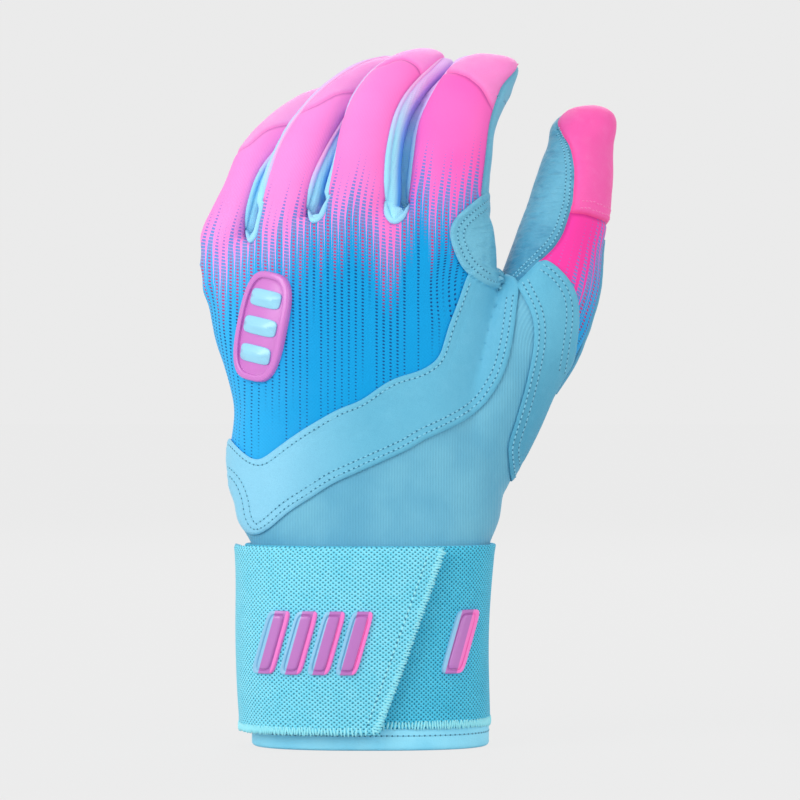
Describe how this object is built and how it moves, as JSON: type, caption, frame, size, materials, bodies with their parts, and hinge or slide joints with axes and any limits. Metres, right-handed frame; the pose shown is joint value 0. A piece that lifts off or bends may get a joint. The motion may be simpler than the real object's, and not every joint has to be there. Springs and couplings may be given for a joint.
{
  "type": "batting glove",
  "caption": "Left-hand batting glove with printed stretch back, leather palm and overlays, curling digits and a padded wrist strap with a peel-open tab, standing filled on its cuff.",
  "frame": {"origin": "under the middle of the glove's bounding box, on the surface that its cuff stands on", "axes": "+Z from the cuff to the fingertips, +X to the thumb side, -Y is the back of the hand and +Y the palm"},
  "size_m": [0.1478, 0.0918, 0.2439],
  "materials": {
    "printed_back": "matte stretch fabric printed with a pink to cyan fade and dot columns",
    "stretch_knit": "matte ribbed stretch knit",
    "gusset_knit": "matte fine stretch knit",
    "palm_leather": "satin fine-grained leather",
    "saddle_leather": "satin fine-grained leather",
    "cap_leather": "satin fine-grained leather",
    "strap_elastic": "padded woven elastic",
    "neoprene": "fabric-faced foam rubber",
    "loop_fastener": "napped loop tape",
    "hook_fastener": "moulded hook tape",
    "moulded_rubber": "glossy moulded rubber",
    "badge_inlay": "glossy moulded rubber"
  },
  "bodies": {
    "hand": {"back_panel": "printed_back", "wrist_stretch_panel": "stretch_knit", "palm_panel": "palm_leather", "gusset_pinky_ring": "gusset_knit", "gusset_ring_middle": "gusset_knit", "gusset_middle_index": "gusset_knit", "thumb_saddle": "saddle_leather", "thumb_back_panel": "printed_back", "thumb_palm_panel": "palm_leather", "back_strip": "palm_leather", "index_knuckle_wrap": "palm_leather", "palm_patch": "saddle_leather", "cuff_band": "neoprene", "strap_band": "strap_elastic", "loop_patch": "loop_fastener", "band_bar": "moulded_rubber", "badge_base": "moulded_rubber", "badge_rib_1": "badge_inlay", "badge_rib_2": "badge_inlay", "badge_rib_3": "badge_inlay", "thumb_piping": "palm_leather"},
    "index_tip": {"index_tip_back": "printed_back", "index_tip_cap": "cap_leather", "index_tip_palm": "palm_leather", "index_tip_gusset_inner": "gusset_knit"},
    "middle_tip": {"middle_tip_back": "printed_back", "middle_tip_cap": "cap_leather", "middle_tip_palm": "palm_leather", "middle_tip_gusset_inner": "gusset_knit", "middle_tip_gusset_outer": "gusset_knit"},
    "ring_tip": {"ring_tip_back": "printed_back", "ring_tip_cap": "cap_leather", "ring_tip_palm": "palm_leather", "ring_tip_gusset_inner": "gusset_knit", "ring_tip_gusset_outer": "gusset_knit"},
    "pinky_tip": {"pinky_tip_back": "printed_back", "pinky_tip_cap": "cap_leather", "pinky_tip_palm": "palm_leather", "pinky_tip_gusset_outer": "gusset_knit"},
    "thumb_tip": {"thumb_tip_cap": "cap_leather", "thumb_tip_palm": "palm_leather"},
    "strap_tab": {"hook_patch": "hook_fastener", "strap_tab": "strap_elastic", "tab_bar_1": "moulded_rubber", "tab_bar_2": "moulded_rubber", "tab_bar_3": "moulded_rubber", "tab_bar_4": "moulded_rubber"}
  },
  "joints": [
    {"name": "index_curl", "type": "hinge", "parent": "hand", "child": "index_tip", "pos_m": [0.02225, -0.0008, 0.1996], "axis": [-0.7877, 0.6155, 0.0262], "range_deg": [0, 35]},
    {"name": "middle_curl", "type": "hinge", "parent": "hand", "child": "middle_tip", "pos_m": [-0.00798, -0.00017, 0.20253], "axis": [-0.8075, 0.5867, 0.061], "range_deg": [0, 40]},
    {"name": "ring_curl", "type": "hinge", "parent": "hand", "child": "ring_tip", "pos_m": [-0.03133, 0.01033, 0.19905], "axis": [-0.7537, 0.6552, 0.0523], "range_deg": [0, 40]},
    {"name": "pinky_curl", "type": "hinge", "parent": "hand", "child": "pinky_tip", "pos_m": [-0.05078, 0.02181, 0.19297], "axis": [-0.7359, 0.6626, 0.1392], "range_deg": [0, 40]},
    {"name": "thumb_curl", "type": "hinge", "parent": "hand", "child": "thumb_tip", "pos_m": [0.05235, 0.00945, 0.18013], "axis": [-0.7351, -0.554, 0.3907], "range_deg": [0, 20]},
    {"name": "strap_peel", "type": "hinge", "parent": "hand", "child": "strap_tab", "pos_m": [-0.05443, -0.00439, 0.0369], "axis": [0, 0, -1], "range_deg": [0, 100]}
  ]
}
